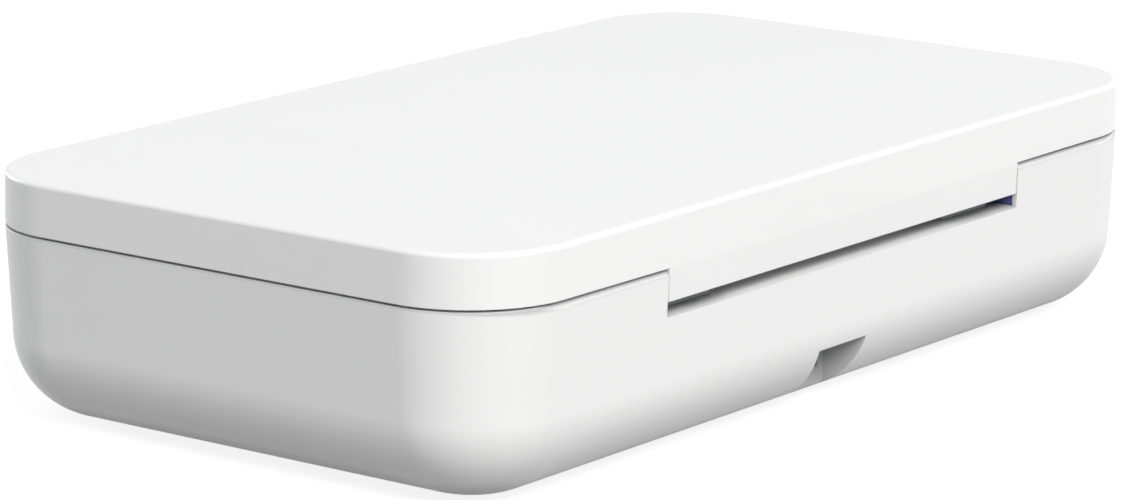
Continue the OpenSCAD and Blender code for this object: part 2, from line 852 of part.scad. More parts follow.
module rubber_feet() color(rubber_grey)
    at_posts() rotate_extrude()
        polygon([[0, 0], [foot_r - foot_edge, 0], [foot_r, foot_edge], [foot_r, foot_t], [0, foot_t]]);

module base_screws() color(steel)
    at_posts() {
        top = z_bottom + foot_depth + screw_head_t + head_room;
        translate([0, 0, top - screw_head_t]) cylinder(h = screw_head_t, r = screw_head_r);
        translate([0, 0, top - lap / 2]) cylinder(h = base_screw_l + lap / 2, r = screw_r);
    }

// Bearing bracket: a foot plate on the pocket floor and an ear round the pin
module hinge_bracket(side) color(inner_white) {
    middle = side * ear_mid;
    ear_top = axis_z + ear_r - 0.01;
    foot_y = bracket_y - ear_foot;
    difference() {
        union() {
            translate([middle - bracket_half, bracket_back, ledge_z])
                cube([2 * bracket_half, bracket_y - bracket_back, foot_plate_t]);
            along_x(middle - ear_w / 2, middle + ear_w / 2) {
                translate([axis_y, axis_z]) circle(ear_r);
                polygon([[foot_y, ledge_z], [bracket_y, ledge_z], [bracket_y, axis_z], [axis_y, axis_z],
                         [axis_y, ear_top], [bracket_y - 1, ear_top], [foot_y, axis_z - 1]]);
            }
        }
        axis_bar(middle - ear_w, middle + ear_w, pin_r + pin_gap);
        at_bracket_screws()
            translate([0, 0, ledge_z - lap])
                cylinder(h = foot_plate_t + 2 * lap, r = small_screw_r + shank_gap);
    }
}

module hinge_bracket_left() hinge_bracket(-1);
module hinge_bracket_right() hinge_bracket(1);

module hinge_damper() color(damper_blue)
    difference() {
        along_x(-damper_x - damper_l, -damper_x)
            translate([(damper_y + damper_back) / 2, (ledge_z + pocket_top) / 2])
                rounded(damper_back - damper_y, pocket_top - ledge_z - 0.1, 0.8);
        axis_bar(-damper_x - damper_l + 1, lap - damper_x, pin_r + pin_gap);
    }

module hinge_pin_left() color(steel) axis_bar(-damper_x - damper_l + 1.4, -pin_end_x - 0.2, pin_r);
module hinge_pin_right() color(steel) axis_bar(pin_end_x + 0.2, outer_x - 0.2, pin_r);

module lid_shell() color(white) {
    difference() {
        union() {
            difference() {
                lid_form(0, z_seam);
                lid_form(lid_t, z_seam - lap);
            }
            flap();
            for (side = [-1, 1]) {
                knuckle(side, ear_x + ear_gap, outer_x);
                knuckle(side, pin_end_x, inner_x);
            }
            at_lid_screws()
                translate([0, 0, z_liner_top])
                    cylinder(h = z_lid_in + lap - z_liner_top, r = lid_post_r);
        }
        for (side = [-1, 1]) {
            room = ear_w / 2 + ear_gap;
            axis_bar(side * ear_mid - room, side * ear_mid + room, knuckle_r);
            axis_bar(side * ear_mid - flap_w / 5, side * ear_mid + flap_w / 5, pin_r + tap_gap);
        }
        at_lid_screws()
            translate([0, 0, z_liner_top - lap])
                cylinder(h = lid_hole_d + lap, r = small_screw_r + tap_gap);
    }
}

// Tongue of the rear wall, flush with the base, in the base's notch
module flap() {
    in_y = body_w / 2 - lid_t;
    root_z = z_seam + 2;
    along_x(-flap_w / 2, flap_w / 2)
        polygon([[body_w / 2, z_seam], [body_w / 2, z_rim], [wall_y(flap_z), flap_z], [in_y, flap_z],
                 [in_y, root_z], [body_w / 2 - 0.4, root_z]]);
}

// Knuckle round the pin, with the web that joins it to the flap
module knuckle(side, near, far) {
    x1 = side > 0 ? near : -far;
    web_y = body_w / 2 - lid_t + web_gap;
    along_x(x1, x1 + far - near) {
        translate([axis_y, axis_z]) circle(knuckle_r);
        polygon([[axis_y - 0.8 * knuckle_r, axis_z + 0.55 * knuckle_r], [web_y, z_rim - 0.4],
                 [web_y, flap_z + web_gap], [axis_y, axis_z - 0.9 * knuckle_r]]);
    }
}

module lid_liner() color(inner_white) {
    difference() {
        union() {
            translate([0, 0, z_liner])
                plate(body_l - 2 * liner_edge, body_w - 2 * liner_edge, liner_t, corner_r - liner_edge);
            at_magnets() cup(magnet_r, z_liner_top - lap, z_liner_top + magnet_t + cup_short);
            at_sensor_magnet()
                cup(sensor_magnet_r, z_liner_top - lap, z_liner_top + sensor_magnet_t + cup_short);
        }
        translate([0, chamber_y, z_liner - lap])
            plate(window_l - 2 * ledge_w, window_w - 2 * ledge_w, liner_t + 2 * lap,
                  window_r - ledge_w);
        translate([0, chamber_y, z_liner_top - lid_window_t])
            plate(window_l + fit_gap, window_w + fit_gap, lid_window_t + lap, window_r);
        at_magnets()
            translate([0, 0, z_liner_top]) cylinder(h = magnet_t + lap, r = magnet_r + magnet_gap);
        at_sensor_magnet()
            translate([0, 0, z_liner_top])
                cylinder(h = sensor_magnet_t + lap, r = sensor_magnet_r + magnet_gap);
        at_lid_screws() {
            translate([0, 0, z_liner - lap])
                cylinder(h = liner_t + 2 * lap, r = small_screw_r + shank_gap);
            translate([0, 0, z_liner - lap])
                cylinder(h = lap + small_head_t + 0.1, r = small_head_r + 0.15);
        }
    }
}

module at_sensor_magnet() {
    translate([sensor_x, magnet_y, 0]) children();
}

module lid_magnets() color(steel)
    at_magnets() translate([0, 0, z_liner_top]) cylinder(h = magnet_t, r = magnet_r);

module sensor_magnet() color(steel)
    at_sensor_magnet() translate([0, 0, z_liner_top]) cylinder(h = sensor_magnet_t, r = sensor_magnet_r);

module lid_screws() color(steel)
    at_lid_screws() {
        translate([0, 0, z_liner + 0.1]) cylinder(h = small_head_t, r = small_head_r);
        translate([0, 0, z_liner + 0.6]) cylinder(h = lid_screw_l, r = small_screw_r);
    }

base_shell();
base_tray();
lower_window();
lower_reflector();
lower_lamp();
lower_lamp_caps();
lower_lamp_clips();
phone_rests();
light_seal();
base_magnets();
main_board();
board_parts();
lamp_driver();
usb_socket();
board_screws();
button_board();
tact_switch();
lid_sensor();
indicator_led();
light_pipe();
rubber_feet();
base_screws();
hinge_bracket_left();
hinge_bracket_right();
bracket_screws();
hinge_damper();
lid_shell();
lid_liner();
upper_window();
upper_reflector();
upper_lamp();
upper_lamp_caps();
upper_lamp_clips();
lid_magnets();
sensor_magnet();
lid_screws();
hinge_pin_left();
hinge_pin_right();
power_button();
switch_plunger();
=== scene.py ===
# A white box that cleans a phone with ultraviolet light: every surface and its finish.
# Sizes are in millimetres and become metres where a mesh or a node takes them.
import json
import math

import bmesh
import bpy
from mathutils import Matrix, Vector
from mathutils.bvhtree import BVHTree


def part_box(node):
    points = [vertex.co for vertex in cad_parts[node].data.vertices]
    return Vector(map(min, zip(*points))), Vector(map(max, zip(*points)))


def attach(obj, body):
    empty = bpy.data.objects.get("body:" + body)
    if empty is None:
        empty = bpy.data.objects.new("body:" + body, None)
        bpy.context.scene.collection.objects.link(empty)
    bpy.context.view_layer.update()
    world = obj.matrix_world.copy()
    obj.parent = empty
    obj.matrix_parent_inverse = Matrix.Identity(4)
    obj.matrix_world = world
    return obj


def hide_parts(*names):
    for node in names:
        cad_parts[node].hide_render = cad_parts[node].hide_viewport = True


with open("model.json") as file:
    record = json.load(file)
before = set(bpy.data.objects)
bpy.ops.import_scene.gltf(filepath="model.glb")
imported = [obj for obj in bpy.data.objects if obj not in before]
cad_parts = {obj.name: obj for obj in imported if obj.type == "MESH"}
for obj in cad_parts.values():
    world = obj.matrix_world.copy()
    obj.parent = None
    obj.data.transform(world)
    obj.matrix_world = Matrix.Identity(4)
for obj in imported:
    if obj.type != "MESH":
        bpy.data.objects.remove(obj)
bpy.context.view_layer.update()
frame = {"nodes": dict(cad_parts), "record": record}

MM = 0.001
WHITE = (1, 1, 1, 1)
NODES = frame["nodes"]
SLOT_OF = {part["node"]: part["material_slot"] for part in frame["record"]["subparts"]}
BODY_OF = {node: body for body, group in frame["record"]["behaviour"]["bodies"].items()
           for node in group}


# Sizes of the box that finishes and normals follow

CORE_HALF_L = 92
CORE_HALF_W = 44
CORNER_R = 22
RIM_Z = 39.1
SEAM_Z = 39.6
LEAN = math.radians(2.7)
LOW_EDGE_R = 17.5
LOW_EDGE_Z = 18.1
FLAP_LOW = 33.2
FLAP_GAP_MIDDLE = 60.17
NOTCH_END_Y = 55.2
NOTCH_END_HALF = 5.75
NOTCH_SPREAD = 0.267
NOTCH_TOP = 13


# Node graphs

class Wire:
    """One output of a node. Sums of wires and numbers add the Math nodes they need."""

    def __init__(self, graph, socket):
        self.graph = graph
        self.socket = socket

    def of(self, name):
        """Another output of the same node."""
        return Wire(self.graph, self.socket.node.outputs[name])

    def maths(self, operation, *others):
        """A Math node on this wire and the others."""
        return self.graph.maths(operation, self, *others)

    def larger(self, other):
        return self.maths("MAXIMUM", other)

    def clamped(self):
        """The same, kept between 0 and 1."""
        return self.graph.add("ShaderNodeClamp", {}, {"Value": self})

    def __abs__(self):
        return self.maths("ABSOLUTE")

    def __add__(self, other):
        return self.maths("ADD", other)

    __radd__ = __add__

    def __sub__(self, other):
        return self.maths("SUBTRACT", other)

    def __rsub__(self, other):
        return self.graph.maths("SUBTRACT", other, self)

    def __mul__(self, other):
        return self.maths("MULTIPLY", other)

    __rmul__ = __mul__

    def __truediv__(self, other):
        return self.maths("DIVIDE", other)

    def __gt__(self, other):
        return self.maths("GREATER_THAN", other)

    def __lt__(self, other):
        return self.maths("LESS_THAN", other)


class Graph:
    """Adds nodes to the tree of one material, world or modifier."""

    def __init__(self, tree):
        self.tree = tree
        self.tree.nodes.clear()

    def add(self, kind, settings=None, values=None):
        """A node of that kind: its settings first, then numbers or wires for its sockets."""
        node = self.tree.nodes.new(kind)
        for name, value in (settings or {}).items():
            if name == "stops":
                self.set_stops(node.color_ramp, value)
            elif name == "rows":
                self.set_rows(node.index_switch_items, value)
            else:
                setattr(node, name, value)
        for name, value in (values or {}).items():
            self.feed(self.pick(node.inputs, name), value)
        shown = [socket for socket in node.outputs if socket.enabled]
        return Wire(self, shown[0]) if shown else None

    def feed(self, socket, value):
        """Gives a socket its number, a wire, or each wire of a list."""
        if isinstance(value, list):
            for wire in value:
                self.feed(socket, wire)
        elif isinstance(value, Wire):
            self.tree.links.new(value.socket, socket)
        else:
            socket.default_value = value

    @staticmethod
    def pick(sockets, name):
        """The socket of that name that is in use, or the one at that place."""
        if isinstance(name, int):
            return sockets[name]
        return next(socket for socket in sockets if socket.enabled and socket.name == name)

    @staticmethod
    def set_stops(ramp, stops):
        while len(ramp.elements) < len(stops):
            ramp.elements.new(1)
        for element, (place, colour) in zip(ramp.elements, stops):
            element.position = place
            element.color = colour

    @staticmethod
    def set_rows(items, count):
        while len(items) < count:
            items.new()

    def maths(self, operation, *values):
        return self.add("ShaderNodeMath", {"operation": operation}, dict(enumerate(values)))

    def place(self):
        """Object coordinates, in millimetres."""
        metres = self.add("ShaderNodeTexCoord").of("Object")
        return self.add("ShaderNodeVectorMath", {"operation": "SCALE"}, {0: metres, "Scale": 1 / MM})

    def axes(self):
        """Object coordinates in millimetres, as three numbers."""
        split = self.add("ShaderNodeSeparateXYZ", {}, {0: self.place()})
        return split.of("X"), split.of("Y"), split.of("Z")

    def stretched(self, along):
        """Object coordinates in millimetres, divided along each axis by the lengths given."""
        return self.add("ShaderNodeVectorMath", {"operation": "DIVIDE"}, {0: self.place(), 1: along})

    def grain(self, size, detail=2.0, place=None):
        """Soft noise from 0 to 1 with patches about as wide as size."""
        return self.add("ShaderNodeTexNoise", {"noise_dimensions": "3D"},
                        {"Vector": place or self.place(), "Scale": 1 / size, "Detail": detail})

    def blend(self, mask, first, second):
        """A colour that goes from first to second with the mask."""
        return self.add("ShaderNodeMix", {"data_type": "RGBA"},
                        {"Factor": mask, "A": first, "B": second})

    def bump(self, height, depth):
        """A normal from a height of 0 to 1, depth millimetres tall."""
        return self.add("ShaderNodeBump", {}, {"Height": height, "Distance": depth * MM})

    def ramp(self, mask, *stops):
        """The mask read off a row of grey stops."""
        greys = [(place, (level, level, level, 1)) for place, level in stops]
        return self.add("ShaderNodeValToRGB", {"stops": greys}, {"Fac": mask})


POLE_MERGE = 0.002


class Maker(Graph):
    """A Geometry Nodes tree with named sizes. It works on the points it is given."""

    def __init__(self, name, *sizes):
        tree = bpy.data.node_groups.new(name, "GeometryNodeTree")
        tree.interface.new_socket("Places", in_out="INPUT", socket_type="NodeSocketGeometry")
        for label in sizes:
            tree.interface.new_socket(label, in_out="INPUT", socket_type="NodeSocketFloat")
        tree.interface.new_socket("Geometry", in_out="OUTPUT", socket_type="NodeSocketGeometry")
        super().__init__(tree)
        self.entry = self.add("NodeGroupInput")

    def size(self, label):
        return self.entry.of(label)

    def point(self, x, y, z):
        return self.add("ShaderNodeCombineXYZ", {}, {"X": x, "Y": y, "Z": z})

    def moved(self, shape, by, turn=(0, 0, 0)):
        return self.add("GeometryNodeTransform", {},
                        {"Geometry": shape, "Translation": by, "Rotation": turn})

    def block(self, x, y, z):
        return self.add("GeometryNodeMeshCube", {}, {"Size": self.point(x, y, z)})

    def join(self, *shapes):
        return self.add("GeometryNodeJoinGeometry", {}, {"Geometry": list(shapes)})

    def listed(self, row, numbers):
        """The number that stands at that place in a row of numbers or wires."""
        rows = {str(place): number for place, number in enumerate(numbers)}
        return self.add("GeometryNodeIndexSwitch", {"data_type": "FLOAT", "rows": len(rows)},
                        {"Index": row, **rows})

    def turned(self, outline, steps):
        """A closed body turned round Z from an outline of radius and height, poles included."""
        rows = len(outline)
        grid = self.add("GeometryNodeMeshGrid", {}, {"Vertices X": steps + 1, "Vertices Y": rows})
        index = self.add("GeometryNodeInputIndex")
        column = ((index + 0.5) / rows).maths("FLOOR")
        row = index - column * rows
        angle = column * (math.tau / steps)
        radius, height = [self.listed(row, numbers) for numbers in zip(*outline)]
        spot = self.point(radius * angle.maths("COSINE"), radius * angle.maths("SINE"), height)
        shaped = self.add("GeometryNodeSetPosition", {}, {"Geometry": grid, "Position": spot})
        return self.add("GeometryNodeMergeByDistance", {},
                        {"Geometry": shaped, "Distance": POLE_MERGE * MM})

    def wire_along(self, path, radius, sides):
        round_wire = self.add("GeometryNodeCurvePrimitiveCircle", {"mode": "RADIUS"},
                              {"Resolution": sides, "Radius": radius})
        return self.add("GeometryNodeCurveToMesh", {},
                        {"Curve": path, "Profile Curve": round_wire, "Fill Caps": True})

    def at_places(self, shape):
        return self.add("GeometryNodeInstanceOnPoints", {},
                        {"Points": self.size("Places"), "Instance": shape})

    def close(self, shape, slot):
        """Ends the tree: real faces, and the finish of a slot."""
        plain = self.add("GeometryNodeRealizeInstances", {}, {"Geometry": shape})
        dyed = self.add("GeometryNodeSetMaterial", {}, {"Geometry": plain, "Material": FINISHES[slot]})
        self.add("NodeGroupOutput", {}, {"Geometry": dyed})


# Painted shade: where the plastic is painted darker because little light reaches it

RECESS_REACH = 7
RECESS_FROM = 0.35
RECESS_FULL = 0.95
INNER_RECESS_SHADE = 0.8
SHELL_RECESS_SHADE = 0.75
GAP_RECESS_SHADE = 0.1
GAP_REACH = 0.4
FLAP_GAP_HALF = 0.5
NOTCH_FROM_Y = 55
NOTCH_SHADE = 0.5
OFF_FLAP_X = 60.2
RIM_SKIN = 0.02
REAR_SHADE_H = 1.3
REAR_SHADE = 0.52
REAR_FROM_Y = 54
REAR_FULL_Y = 64.6
SIDE_SHADE_H = 0.4
SIDE_SHADE = 0.6


def tone(red, green, blue):
    """A linear colour from the 0 to 255 levels that a screen shows."""
    def linear(level):
        share = level / 255
        return share / 12.92 if share < 0.04045 else ((share + 0.055) / 1.055) ** 2.4
    return (linear(red), linear(green), linear(blue), 1)


def in_notch(graph):
    """1 on the walls of the cable notch, which widens towards the rear face, and 0 elsewhere."""
    x, y, z = graph.axes()
    half = NOTCH_END_HALF + NOTCH_SPREAD * (y - NOTCH_END_Y)
    return (abs(x) < half) * (y > NOTCH_FROM_Y) * (z < NOTCH_TOP)


def near_rim(graph):
    """A painted shade that grows towards the top of the base's outer upper edge, and not on the flap:
    it stands in for the shadow under the lid's edge, taller along the rear.
    """
    x, y, z = graph.axes()
    rear = ((y - REAR_FROM_Y) / (REAR_FULL_Y - REAR_FROM_Y)).clamped()
    fall = SIDE_SHADE_H + rear * (REAR_SHADE_H - SIDE_SHADE_H)
    shade = SIDE_SHADE + rear * (REAR_SHADE - SIDE_SHADE)
    rise = ((z - RIM_Z + fall) / fall * shade).clamped()
    off_flap = (rear < 1).larger(abs(x) > OFF_FLAP_X)
    return rise * (z < RIM_Z - RIM_SKIN) * off_flap


def in_thin_gap(graph):
    """1 in the seam between base and lid and in the gaps beside the flap, and 0 elsewhere."""
    x, _, z = graph.axes()
    seam = (z > RIM_Z - GAP_REACH) * (z < SEAM_Z + GAP_REACH)
    beside_flap = (abs(abs(x) - FLAP_GAP_MIDDLE) < FLAP_GAP_HALF) * (z > FLAP_LOW)
    return seam.larger(beside_flap)


def recess(graph):
    """0 where a surface is open to the light and 1 where it is almost closed in: the mask for painted
    shade.
    """
    open_sky = graph.add("ShaderNodeAmbientOcclusion", {"samples": 8},
                         {"Distance": RECESS_REACH * MM}).of("AO")
    return graph.ramp(1 - open_sky, (RECESS_FROM, 0), (RECESS_FULL, 1))


def inner_dimmed(graph, unshaded):
    """The colour of the inner plastic with painted shade: greyer where it is almost closed in."""
    # Painted shade: a grey blended into the colour where the plastic is almost closed in.
    return graph.blend(recess(graph) * INNER_RECESS_SHADE, unshaded, tone(84, 86, 88))


def shell_dimmed(graph, unshaded):
    """The colour of the shells with painted shade: greyer in slots, beside the seam and on the walls
    of the notch, where little light reaches.
    """
    strength = SHELL_RECESS_SHADE + (GAP_RECESS_SHADE - SHELL_RECESS_SHADE) * in_thin_gap(graph)
    shade = (recess(graph) * strength).larger(near_rim(graph))
    # Painted shade in recesses, weaker in thin gaps, and painted shadow under the lid's edge above the
    # rim.
    recess_shaded = graph.blend(shade, unshaded, tone(96, 98, 99))
    # Painted shade on the walls of the cable notch.
    return graph.blend(in_notch(graph) * NOTCH_SHADE, recess_shaded, tone(92, 95, 95))


# Finishes

def varied(level, *waves):
    """A number that varies with each grain, by the amount given after it."""
    for grain, amount in waves:
        level = level + amount * (grain - 0.5)
    return level


def moulded(light, dark, rough, patch, pores, depth, paint_shade=None):
    """Moulded plastic: faint clouds in the colour, and the fine texture of an eroded mould. Where
    little light comes, the function given last paints shade into the colour."""
    def paint(graph):
        clouds = graph.grain(patch)
        texture = graph.grain(pores, 3)
        colour = graph.blend(clouds, light, dark)
        return {"Base Color": paint_shade(graph, colour) if paint_shade else colour,
                "Roughness": varied(rough, (texture, 0.08), (clouds, 0.05)),
                "Normal": graph.bump(texture, depth)}
    return paint


def rolled(light, dark, rough, along):
    """Rolled or turned metal with fine lines along one axis."""
    def paint(graph):
        lines = graph.grain(1, 4, graph.stretched(along))
        smears = graph.grain(12)
        return {"Base Color": graph.blend(lines, light, dark),
                "Roughness": varied(rough, (lines, 0.14), (smears, 0.08)),
                "Normal": graph.bump(lines, 0.004)}
    return paint


def soft(light, dark, rough):
    """Rubber or silicone with a dull skin."""
    def paint(graph):
        skin = graph.grain(0.25, 4)
        dust = graph.grain(9)
        return {"Base Color": graph.blend(dust, light, dark),
                "Roughness": varied(rough, (skin, 0.1)),
                "Normal": graph.bump(skin, 0.012)}
    return paint


def clear(light, dark, haze):
    """Clear plate or tube with a little haze, as if wiped."""
    def paint(graph):
        wipes = graph.grain(1, 3, graph.stretched((30, 4, 4)))
        return {"Base Color": graph.blend(wipes, light, dark),
                "Roughness": haze * (0.5 + wipes)}
    return paint


def lacquered_board(graph):
    """Green lacquer over copper tracks."""
    tracks = graph.add("ShaderNodeTexBrick", {"offset": 0.5},
                       {"Vector": graph.place(), "Scale": 0.32, "Mortar Size": 0.06,
                        "Mortar Smooth": 0.3, "Row Height": 0.25, "Brick Width": 2.2})
    copper = tracks.of("Fac")
    cloud = graph.grain(6)
    lacquer = graph.blend(cloud, tone(24, 92, 58), tone(18, 76, 48))
    return {"Base Color": graph.blend(copper * 0.6, lacquer, tone(70, 140, 84)),
            "Roughness": 0.32 + 0.1 * cloud,
            "Normal": graph.bump(copper, 0.03)}


def new_finish(name, paint, lets_light_by=False, **constants):
    """A material. paint(graph) gives the wires that vary over the surface. One that lets light by
    casts no shadow, so that what lies behind the glass is lit."""
    material = bpy.data.materials.new(name)
    material.use_nodes = True
    graph = Graph(material.node_tree)
    values = {key.replace("_", " "): value for key, value in constants.items()}
    values.update(paint(graph))
    shader = graph.add("ShaderNodeBsdfPrincipled", {}, values)
    if lets_light_by:
        shadow = graph.add("ShaderNodeLightPath").of("Is Shadow Ray")
        opening = graph.add("ShaderNodeBsdfTransparent")
        shader = graph.add("ShaderNodeMixShader", {}, {0: shadow, 1: shader, 2: opening})
    graph.add("ShaderNodeOutputMaterial", {}, {"Surface": shader})
    return material


FINISHES = {
    "shell_white": new_finish(
        "white_satin_plastic",
        moulded(tone(247, 247, 247), tone(244, 244, 244), 0.42, 60, 0.3, 0.003, shell_dimmed),
        IOR=1.5),
    "inner_plastic": new_finish(
        "pale_inner_plastic",
        moulded(tone(237, 239, 240), tone(231, 233, 235), 0.4, 30, 0.4, 0.008, inner_dimmed),
        IOR=1.5),
    "clear_window": new_finish(
        "clear_plate", clear(tone(254, 254, 254), tone(251, 253, 253), 0.03),
        lets_light_by=True, Transmission_Weight=1.0, IOR=1.46),
    "lamp_glass": new_finish(
        "quartz_tube", clear(tone(250, 251, 253), tone(242, 245, 250), 0.05),
        lets_light_by=True, Transmission_Weight=0.72, IOR=1.46),
    "reflector_metal": new_finish(
        "rolled_aluminium",
        rolled(tone(226, 228, 231), tone(206, 209, 213), 0.24, (40, 0.12, 0.12)), Metallic=1.0),
    "ceramic": new_finish(
        "glazed_ceramic", moulded(tone(240, 236, 226), tone(231, 226, 214), 0.28, 5, 0.5, 0.01)),
    "steel": new_finish(
        "satin_steel", rolled(tone(205, 206, 208), tone(176, 178, 181), 0.3, (6, 0.1, 0.1)),
        Metallic=1.0),
    "circuit_board": new_finish("green_board", lacquered_board),
    "black_component": new_finish(
        "black_casing", moulded(tone(44, 44, 46), tone(34, 34, 36), 0.5, 3, 0.2, 0.01)),
    "damper_blue": new_finish(
        "blue_plastic", moulded(tone(98, 110, 172), tone(86, 98, 158), 0.38, 4, 0.3, 0.008)),
    "seal_silicone": new_finish(
        "grey_silicone", soft(tone(176, 178, 181), tone(166, 168, 171), 0.62)),
    "foot_rubber": new_finish("grey_rubber", soft(tone(150, 152, 154), tone(138, 140, 142), 0.8)),
    "light_pipe": new_finish(
        "frosted_pipe", clear(tone(240, 244, 246), tone(232, 238, 240), 0.35),
        lets_light_by=True, Transmission_Weight=0.3, IOR=1.49),
}


# Meshes

MERGE = 0.0005
FLAT_TURN = 0.2
CREASE = 32
SMOOTH_TURN = 40
MADE_SMOOTH_TURN = 35
ROUND_STEPS = 3
ROUNDING_TRIES = 10
FACE_ROOM = 2.2
LINE_ROOM = 1.8
IN_LINE = 0.75
STRAY = 1.05
TURNED_BACK = -0.2
LEAST_FACE = 0.002
STRENGTH_LAYER = "__mod_weightednormals_faceweight"


def new_piece(name, mesh):
    piece = bpy.data.objects.new(name, mesh)
    bpy.context.scene.collection.objects.link(piece)
    return piece


def opened(mesh):
    """A copy of a mesh that can be worked on."""
    work = bmesh.new()
    work.from_mesh(mesh)
    return work


def put_back(work, mesh):
    """Ends the work on a copy and gives the mesh its shape."""
    work.to_mesh(mesh)
    work.free()
    return mesh


def merged(node):
    """A copy of a node's mesh that can be worked on, its loose triangles joined."""
    work = opened(NODES[node].data)
    bmesh.ops.remove_doubles(work, verts=work.verts, dist=MERGE * MM)
    return work


def bake_modifiers(piece):
    """Turns a piece and its modifiers into a plain mesh."""
    graph = bpy.context.evaluated_depsgraph_get()
    mesh = bpy.data.meshes.new_from_object(piece.evaluated_get(graph))
    piece.modifiers.clear()
    piece.data = mesh


def smooth_by_angle(piece, degrees):
    """Smooth shading with creases where faces meet at more than that angle, as a plain mesh. On a
    rounded piece the old faces set the normals, and only the roundings bend the light."""
    work = opened(piece.data)
    for face in work.faces:
        face.smooth = True
    for line in work.edges:
        line.smooth = line.is_manifold and line.calc_face_angle() < math.radians(degrees)
    put_back(work, piece.data)
    weighted = piece.modifiers.new("weighted", "WEIGHTED_NORMAL")
    weighted.keep_sharp = True
    weighted.mode = "FACE_AREA_WITH_ANGLE"
    weighted.use_face_influence = STRENGTH_LAYER in piece.data.attributes
    bake_modifiers(piece)
    if STRENGTH_LAYER in piece.data.attributes:
        piece.data.attributes.remove(piece.data.attributes[STRENGTH_LAYER])


def finish_up(piece, slot, body, stands_for=()):
    """Gives a piece its finish and the body that it rides on."""
    piece.data.materials.clear()
    piece.data.materials.append(FINISHES[slot])
    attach(piece, body)
    if stands_for:
        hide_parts(*stands_for)
    return piece


def has_room(line, sharp, width):
    """Whether the faces and lines beside a sharp line are large enough for a rounding."""
    start, end = [vert.co for vert in line.verts]
    along = (end - start).normalized()
    for face in line.link_faces:
        ways = [vert.co - start for vert in face.verts]
        if max((way - along * along.dot(way)).length for way in ways) < FACE_ROOM * width:
            return False
    for vert in line.verts:
        for other in vert.link_edges:
            way = other.other_vert(vert).co - vert.co
            follows = other in sharp and abs(way.normalized().dot(along)) > IN_LINE
            if other is not line and not follows and way.length < LINE_ROOM * width:
                return False
    return True


def strayed(work, skin, width):
    """The points of a rounded mesh that leave its old surface, or whose faces turn back on it."""
    reach = STRAY * width
    found = {vert for vert in work.verts if skin.find_nearest(vert.co)[3] > reach}
    for line in work.edges:
        middle = (line.verts[0].co + line.verts[1].co) / 2
        if skin.find_nearest(middle)[3] > reach:
            found |= set(line.verts)
    for face in work.faces:
        way = skin.find_nearest(face.calc_center_median())[1]
        if face.calc_area() > LEAST_FACE * MM * MM and face.normal.dot(way) < TURNED_BACK:
            found |= set(face.verts)
    return found


def rounded_off(source, chosen, width):
    """A copy of a mesh with the chosen edges rounded. Edges whose rounding strays are left sharp."""
    skin = BVHTree.FromBMesh(source)
    spots = {index: [vert.co.copy() for vert in source.edges[index].verts] for index in chosen}
    for _ in range(ROUNDING_TRIES):
        work = source.copy()
        work.edges.ensure_lookup_table()
        bmesh.ops.bevel(work, geom=[work.edges[index] for index in spots], offset=width,
                        segments=ROUND_STEPS, profile=0.5, affect="EDGES", clamp_overlap=False,
                        face_strength_mode="ALL")
        work.normal_update()
        strays = strayed(work, skin, width)
        if not strays:
            return work
        around = [vert.co.copy() for vert in strays]
        around += [line.other_vert(vert).co.copy() for vert in strays for line in vert.link_edges]
        spots = {index: ends for index, ends in spots.items()
                 if all((end - spot).length > 2 * width for end in ends for spot in around)}
        work.free()
    return source.copy()


def dressed(node, edge):
    """A copy of a node's mesh with its sharp edges rounded, in the node's place."""
    source = merged(node)
    bmesh.ops.dissolve_limit(source, angle_limit=math.radians(FLAT_TURN), verts=source.verts,
                             edges=source.edges)
    source.edges.index_update()
    source.edges.ensure_lookup_table()
    sharp = {line for line in source.edges
             if line.is_manifold and line.calc_face_angle() > math.radians(CREASE)}
    roomy = [line.index for line in sharp if has_room(line, sharp, edge * MM)]
    work = rounded_off(source, roomy, edge * MM)
    source.free()
    name = node + "_dressed"
    piece = new_piece(name, put_back(work, bpy.data.meshes.new(name)))
    smooth_by_angle(piece, SMOOTH_TURN)
    return finish_up(piece, SLOT_OF[node], BODY_OF[node], [node])


def made(maker, name, places, sizes, slot, body, stands_for=()):
    """Runs a maker's tree on points in millimetres, and keeps its result as a plain mesh."""
    mesh = bpy.data.meshes.new(name)
    mesh.from_pydata([Vector(place) * MM for place in places], [], [])
    piece = new_piece(name, mesh)
    modifier = piece.modifiers.new("making", "NODES")
    modifier.node_group = maker.tree
    for item in maker.tree.interface.items_tree:
        if item.name in sizes:
            modifier[item.identifier] = sizes[item.name] * MM
    bake_modifiers(piece)
    work = opened(piece.data)
    bmesh.ops.recalc_face_normals(work, faces=work.faces)
    put_back(work, piece.data)
    smooth_by_angle(piece, MADE_SMOOTH_TURN)
    return finish_up(piece, slot, body, stands_for)


def lumps(node):
    """Lowest and highest corner of each separate lump of a node, in millimetres, from -X, -Y on."""
    work = merged(node)
    left = set(work.verts)
    boxes = []
    while left:
        lump = {left.pop()}
        newest = lump
        while newest:
            newest = {line.other_vert(vert) for vert in newest for line in vert.link_edges} - lump
            lump = lump | newest
        left -= lump
        spots = [vert.co / MM for vert in lump]
        boxes.append(tuple(tuple(pick(spot[axis] for spot in spots) for axis in range(3))
                           for pick in (min, max)))
    work.free()
    return sorted(boxes)


# Screws

SMALL_SCREW = {"Head radius": 1.7, "Head height": 1.1, "Shank radius": 0.85, "Recess": 0.45}
BASE_SCREW = {"Head radius": 2.5, "Head height": 1.5, "Shank radius": 1.25, "Recess": 0.6}
SCREW_STEPS = 36


